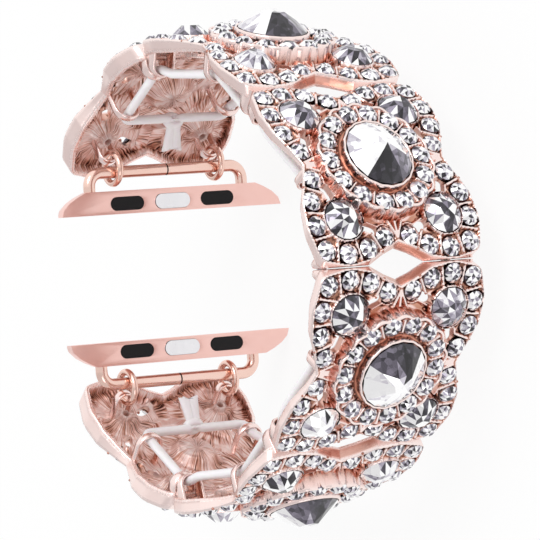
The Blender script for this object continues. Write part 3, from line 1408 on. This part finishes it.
for k, side, label in ((0, -1, "upper"), (5, 1, "lower")):
    c, r = side * cord["crossAt"], cord["knotRadius"]
    endZ, endX, endY = cord["knotInto"]
    routes = [[(linkPoint(k, 0, waistY, s * waistZ), 0), (linkPoint(k, c, waistY, s * waistZ), cord["turn"]),
               (linkPoint(k, c, waistY, s * cord["crossEnd"]), cord["turn"]),
               (linkPoint(k, c + side * endX, waistY + endY * s, s * endZ), 0)] for s in (-1, 1)]
    knotX = c + side * cord["knotAt"]
    routes.append([(linkPoint(k, knotX, waistY + r * math.cos(a), cord["knotWide"] * r * math.sin(a)), 0)
                   for a in np.radians(np.arange(0, 375, 15))])
    piece = cordPiece("cordKnot_" + label, routes)
    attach(piece, "link_%d" % (k + 1))
    verts, faces = tailMesh(k, side)
    if side > 0:
        faces = [tuple(reversed(f)) for f in faces]
    piece = meshPiece("cordTails_" + label, verts, faces, materials["cord"])
    piece.data.set_sharp_from_angle(angle=math.radians(tail["sharpAngle"]))
    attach(piece, "link_%d" % (k + 1))
print("cord strung")


# Watch lugs: the solid's own mesh, with pointed ends and softened edges

lug = {
    "endFrom": 9.2,  # from the middle; the ends are shaped past this
    "endRadius": 3.2,  # of the solid's ends
    "slope": 2.1,
    "pull": (0.1, 0.85),  # how far the ends are drawn in, at the front and at the back
    "pullSlope": 1.5,
    "edge": 0.14,
    "edgeSteps": 2,
    "flatAngle": 2,
    "edgeAngle": 35,
    "sharpAngle": 32,
}


def shapeLugEnds(verts, low, high, side):
    half, middle, start = (high[2] - low[2]) / 2, band["middleZ"], lug["endFrom"]
    for v in verts:
        x, y, z = (c / mm for c in v.co)
        dz = z - middle
        if abs(dz) >= start:
            t = (y - low[1]) / (high[1] - low[1])
            t = min(max(t if side == "upper" else 1 - t, 0.0), 1.0)
            was = half - lug["endRadius"] * (1 - math.sqrt(1 - t * t))
            behind = (high[0] - x) / (high[0] - low[0])
            new = half - lug["endRadius"] * t ** lug["slope"] - mix(*lug["pull"], behind ** lug["pullSlope"])
            share = (new - start) / (was - start)
            v.co.z = (middle + math.copysign(start + (abs(dz) - start) * share, dz)) * mm


def lugPiece(side):
    node = "watch_lug_" + side
    low, high = (np.array(p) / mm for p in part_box(node))
    data = frame["nodes"][node].data.copy()
    mesh = bmesh.new()
    mesh.from_mesh(data)
    bmesh.ops.remove_doubles(mesh, verts=mesh.verts, dist=1e-7)
    bmesh.ops.dissolve_limit(mesh, angle_limit=math.radians(lug["flatAngle"]),
                             verts=mesh.verts, edges=mesh.edges)
    shapeLugEnds(mesh.verts, low, high, side)
    mesh.to_mesh(data)
    mesh.free()
    data.materials.clear()
    data.materials.append(materials["lug"])
    source = newObject("lugShape", data)
    bevel = source.modifiers.new("edges", "BEVEL")
    bevel.width, bevel.segments = lug["edge"] * mm, lug["edgeSteps"]
    bevel.limit_method = "ANGLE"
    bevel.angle_limit = math.radians(lug["edgeAngle"])
    bevel.use_clamp_overlap = True
    piece = bakedPiece(source, "lugBody_" + side)
    piece.data.polygons.foreach_set("use_smooth", [True] * len(piece.data.polygons))
    piece.data.set_sharp_from_angle(angle=math.radians(lug["sharpAngle"]))
    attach(piece, "lug_" + side)
    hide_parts(node)


for side in ("upper", "lower"):
    lugPiece(side)
print("lugs shaped")


# Finishes of the CAD nodes that stay

finishes = {"jump_rings": "ring", "wire_loop": "wire", "rubber_pads": "rubber",
            "lock_button": "button", "button_spring": "spring", "spring_cover": "lug"}
for start, finish in finishes.items():
    for side in ("_upper", "_lower"):
        for materialSlot in frame["nodes"][start + side].material_slots:
            materialSlot.material = materials[finish]
print("metal finished")


# Floor, lamps and world, in metres

studio = {
    "worldLevel": 0.87,
    "floorShadow": 0.14,
    "floorColour": (0.97, 0.97, 0.97),
    "floorReach": 3,
    # what metal and stones reflect, from below to above
    "tones": ((0.0, (0.74, 0.73, 0.74)), (0.4, (0.66, 0.65, 0.66)),
              (0.6, (0.98, 0.98, 0.98)), (1.0, (1.1, 1.1, 1.1))),
    "aim": (0, 0, 0.014),
    "lamps": {"keyLamp": {"place": (0.25, 0.35, 0.45), "size": 0.3, "power": 0.9},
              "fillLamp": {"place": (0.5, -0.35, 0.3), "size": 0.25, "power": 0.3}},
}
white = (1, 1, 1)


def seenDirectly(tree):
    # 1 where the camera, a reflection or a refraction looks
    rays = addNode(tree, "ShaderNodeLightPath").outputs
    return mathNode(tree, "MAXIMUM", rays["Is Camera Ray"],
                    mathNode(tree, "MAXIMUM", rays["Is Glossy Ray"], rays["Is Transmission Ray"]))


def makeFloor():
    material, tree = newMaterial("paleFloor")
    matt = addNode(tree, "ShaderNodeBsdfDiffuse", {"Color": studio["floorColour"]})
    shining = addNode(tree, "ShaderNodeEmission", {"Color": white, "Strength": 1.0})
    share = mathNode(tree, "MULTIPLY", seenDirectly(tree), 1 - studio["floorShadow"])
    mixed = addNode(tree, "ShaderNodeMixShader", {0: share, 1: matt.outputs[0], 2: shining.outputs[0]})
    addNode(tree, "ShaderNodeOutputMaterial", {0: mixed.outputs[0]})
    r = studio["floorReach"]
    floor = meshPiece("floor", [(-r, -r, 0), (r, -r, 0), (r, r, 0), (-r, r, 0)], [(0, 1, 2, 3)], material)


def makeWorld():
    world = bpy.data.worlds.new("studio")
    scene.world = world
    world.use_nodes = True
    tree = world.node_tree
    tree.nodes.clear()
    height = componentOf(tree, addNode(tree, "ShaderNodeTexCoord").outputs["Generated"], "Y")
    tone = colourRamp(tree, mathNode(tree, "MULTIPLY_ADD", height, 0.5, 0.5), studio["tones"])
    soft = addNode(tree, "ShaderNodeBackground", {"Color": white, "Strength": studio["worldLevel"]})
    seen = addNode(tree, "ShaderNodeBackground", {"Color": tone, "Strength": 1.0})
    share = seenDirectly(tree)
    mixed = addNode(tree, "ShaderNodeMixShader", {0: share, 1: soft.outputs[0], 2: seen.outputs[0]})
    addNode(tree, "ShaderNodeOutputWorld", {0: mixed.outputs[0]})


def areaLamp(name, place, size, power):
    data = bpy.data.lights.new(name, "AREA")
    data.shape, data.size, data.energy = "SQUARE", size, power
    turn = (Vector(place) - Vector(studio["aim"])).to_track_quat("Z", "Y").to_matrix().to_4x4()
    newObject(name, data).matrix_world = Matrix.Translation(place) @ turn


makeFloor()
makeWorld()
for name, lamp in studio["lamps"].items():
    areaLamp(name, **lamp)
scene.view_settings.view_transform = "Standard"
print("studio lit")
